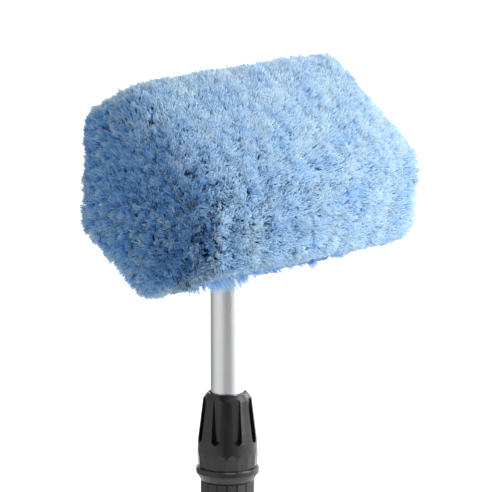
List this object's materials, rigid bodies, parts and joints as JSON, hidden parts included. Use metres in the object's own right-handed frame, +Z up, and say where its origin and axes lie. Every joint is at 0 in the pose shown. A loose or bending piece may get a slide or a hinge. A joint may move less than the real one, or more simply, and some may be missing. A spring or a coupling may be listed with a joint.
{
  "type": "wheel brush",
  "caption": "Long-handled wash brush with a five-sided flagged-bristle head screwed on a telescopic two-tube pole with a twist lock.",
  "frame": {"origin": "centre of the hanging hole in the end cap, on the pole's axis", "axes": "+Z up along the pole towards the head, +X along the head's long side, -Y to the front, where the head's main face looks forwards and up"},
  "size_m": [0.206, 0.153, 1.1612],
  "materials": {
    "tube_aluminium": "drawn and satin anodised",
    "rivet_aluminium": "satin",
    "black_plastic": "moulded satin",
    "lock_plastic": "moulded satin",
    "nut_plastic": "moulded gloss",
    "white_plastic": "natural acetal",
    "block_plastic": "moulded satin",
    "grip_rubber": "soft matt",
    "seal_rubber": "smooth",
    "steel": "zinc plated",
    "brass_wire": "flat drawn wire",
    "bristle": "flagged polystyrene filaments"
  },
  "bodies": {
    "lower_pole": {"outer_tube": "tube_aluminium", "end_cap": "black_plastic", "cap_rivets": "rivet_aluminium", "grip": "grip_rubber", "lock_body": "lock_plastic", "body_pins": "steel", "collet": "white_plastic"},
    "glide": {"glide_ring": "white_plastic"},
    "upper_pole": {"inner_tube": "tube_aluminium", "inner_guide": "black_plastic", "guide_pins": "steel", "pole_tip": "black_plastic", "tip_rivet": "rivet_aluminium"},
    "wiper": {"wiper_ring": "seal_rubber"},
    "nut": {"lock_nut": "nut_plastic"},
    "washer": {"socket_washer": "seal_rubber"},
    "head": {"tuft_block": "block_plastic", "back_cover": "block_plastic", "cover_screws": "steel", "tuft_anchors": "brass_wire", "bristles_main": "bristle", "bristles_front": "bristle", "bristles_back": "bristle", "bristles_left_end": "bristle", "bristles_right_end": "bristle"}
  },
  "joints": [
    {"name": "pole_extend", "type": "slide", "parent": "lower_pole", "child": "glide", "axis": [0, 0, 1], "range_m": [0, 0.72]},
    {"name": "pole_turn", "type": "hinge", "parent": "glide", "child": "upper_pole", "pos_m": [0, 0, 0.5], "axis": [0, 0, 1], "continuous": true},
    {"name": "nut_rise", "type": "slide", "parent": "lower_pole", "child": "wiper", "axis": [0, 0, 1], "range_m": [0, 0.00225]},
    {"name": "nut_turn", "type": "hinge", "parent": "wiper", "child": "nut", "pos_m": [0, 0, 0.9], "axis": [0, 0, 1], "range_deg": [0, 270]},
    {"name": "head_rise", "type": "slide", "parent": "upper_pole", "child": "washer", "axis": [0, 0, 1], "range_m": [0, 0.02]},
    {"name": "head_turn", "type": "hinge", "parent": "washer", "child": "head", "pos_m": [0, 0, 1], "axis": [0, 0, 1], "range_deg": [0, 1440]}
  ],
  "couplings": [
    {"joint": "nut_turn", "follows": "nut_rise", "rad_per_m": 2094.4},
    {"joint": "head_turn", "follows": "head_rise", "rad_per_m": 1256.6}
  ]
}
